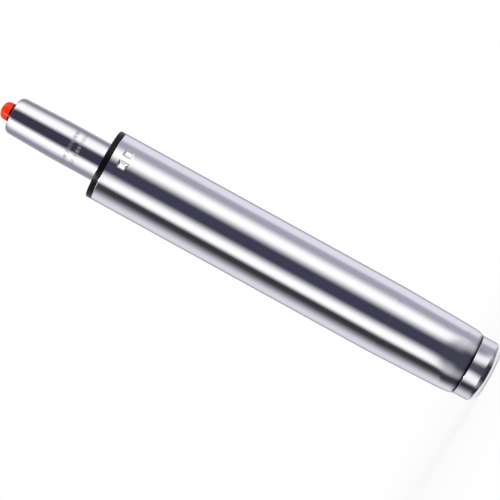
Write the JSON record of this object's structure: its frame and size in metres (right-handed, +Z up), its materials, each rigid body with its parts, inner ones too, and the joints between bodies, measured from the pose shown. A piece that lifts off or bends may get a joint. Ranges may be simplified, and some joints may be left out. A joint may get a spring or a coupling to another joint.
{
  "type": "gas spring",
  "caption": "Lockable gas spring in a chromed column tube, tapered at both ends, with a turning piston rod, a plastic guide sleeve and a release button.",
  "frame": {"origin": "centre of the bottom rim, on the tall axis", "axes": "+Z up along the column to the release button; -Y faces one pair of pressed dents"},
  "size_m": [0.05, 0.05, 0.3736],
  "materials": {
    "chromed_steel": "bright chromed tube",
    "polished_steel": "ground and polished",
    "pressed_steel": "bright plated cup",
    "bearing_steel": "ground",
    "spring_steel": "dark phosphated",
    "zinc_plated": "zinc plated",
    "black_acetal": "satin moulded",
    "white_acetal": "satin moulded",
    "black_rubber": "matt",
    "cast_alloy": "turned",
    "orange_plastic": "satin moulded"
  },
  "bodies": {
    "column": {"outer_tube": "chromed_steel", "bottom_cup": "pressed_steel", "guide_sleeve": "black_acetal", "lower_race": "bearing_steel"},
    "bearing": {"ball_cage": "white_acetal", "bearing_balls": "bearing_steel"},
    "rod": {"piston_rod": "polished_steel", "upper_race": "bearing_steel", "rubber_bumper": "black_rubber", "rod_washer": "zinc_plated", "retaining_clip": "spring_steel", "piston": "cast_alloy", "piston_ring": "black_rubber", "piston_nut": "zinc_plated"},
    "cylinder": {"pressure_tube": "polished_steel", "inner_tube": "zinc_plated", "end_washer": "zinc_plated", "rod_seal": "black_rubber", "rod_guide": "white_acetal", "stop_tube": "white_acetal", "valve_body": "cast_alloy", "body_seals": "black_rubber", "pin_seal": "black_rubber", "seat_seal": "black_rubber"},
    "button": {"release_button": "orange_plastic", "valve_pin": "polished_steel"}
  },
  "joints": [
    {"name": "seat_swivel", "type": "hinge", "parent": "column", "child": "rod", "pos_m": [0, 0, 0.0155], "axis": [0, 0, 1], "continuous": true},
    {"name": "bearing_turn", "type": "hinge", "parent": "column", "child": "bearing", "pos_m": [0, 0, 0.0155], "axis": [0, 0, 1], "continuous": true},
    {"name": "lift", "type": "slide", "parent": "rod", "child": "cylinder", "axis": [0, 0, 1], "range_m": [0, 0.16]},
    {"name": "release", "type": "slide", "parent": "cylinder", "child": "button", "axis": [0, 0, -1], "range_m": [0, 0.003], "stiffness_N_per_m": 2500, "springref_m": -0.003}
  ],
  "couplings": [
    {"joint": "bearing_turn", "follows": "seat_swivel", "ratio": 0.5}
  ]
}
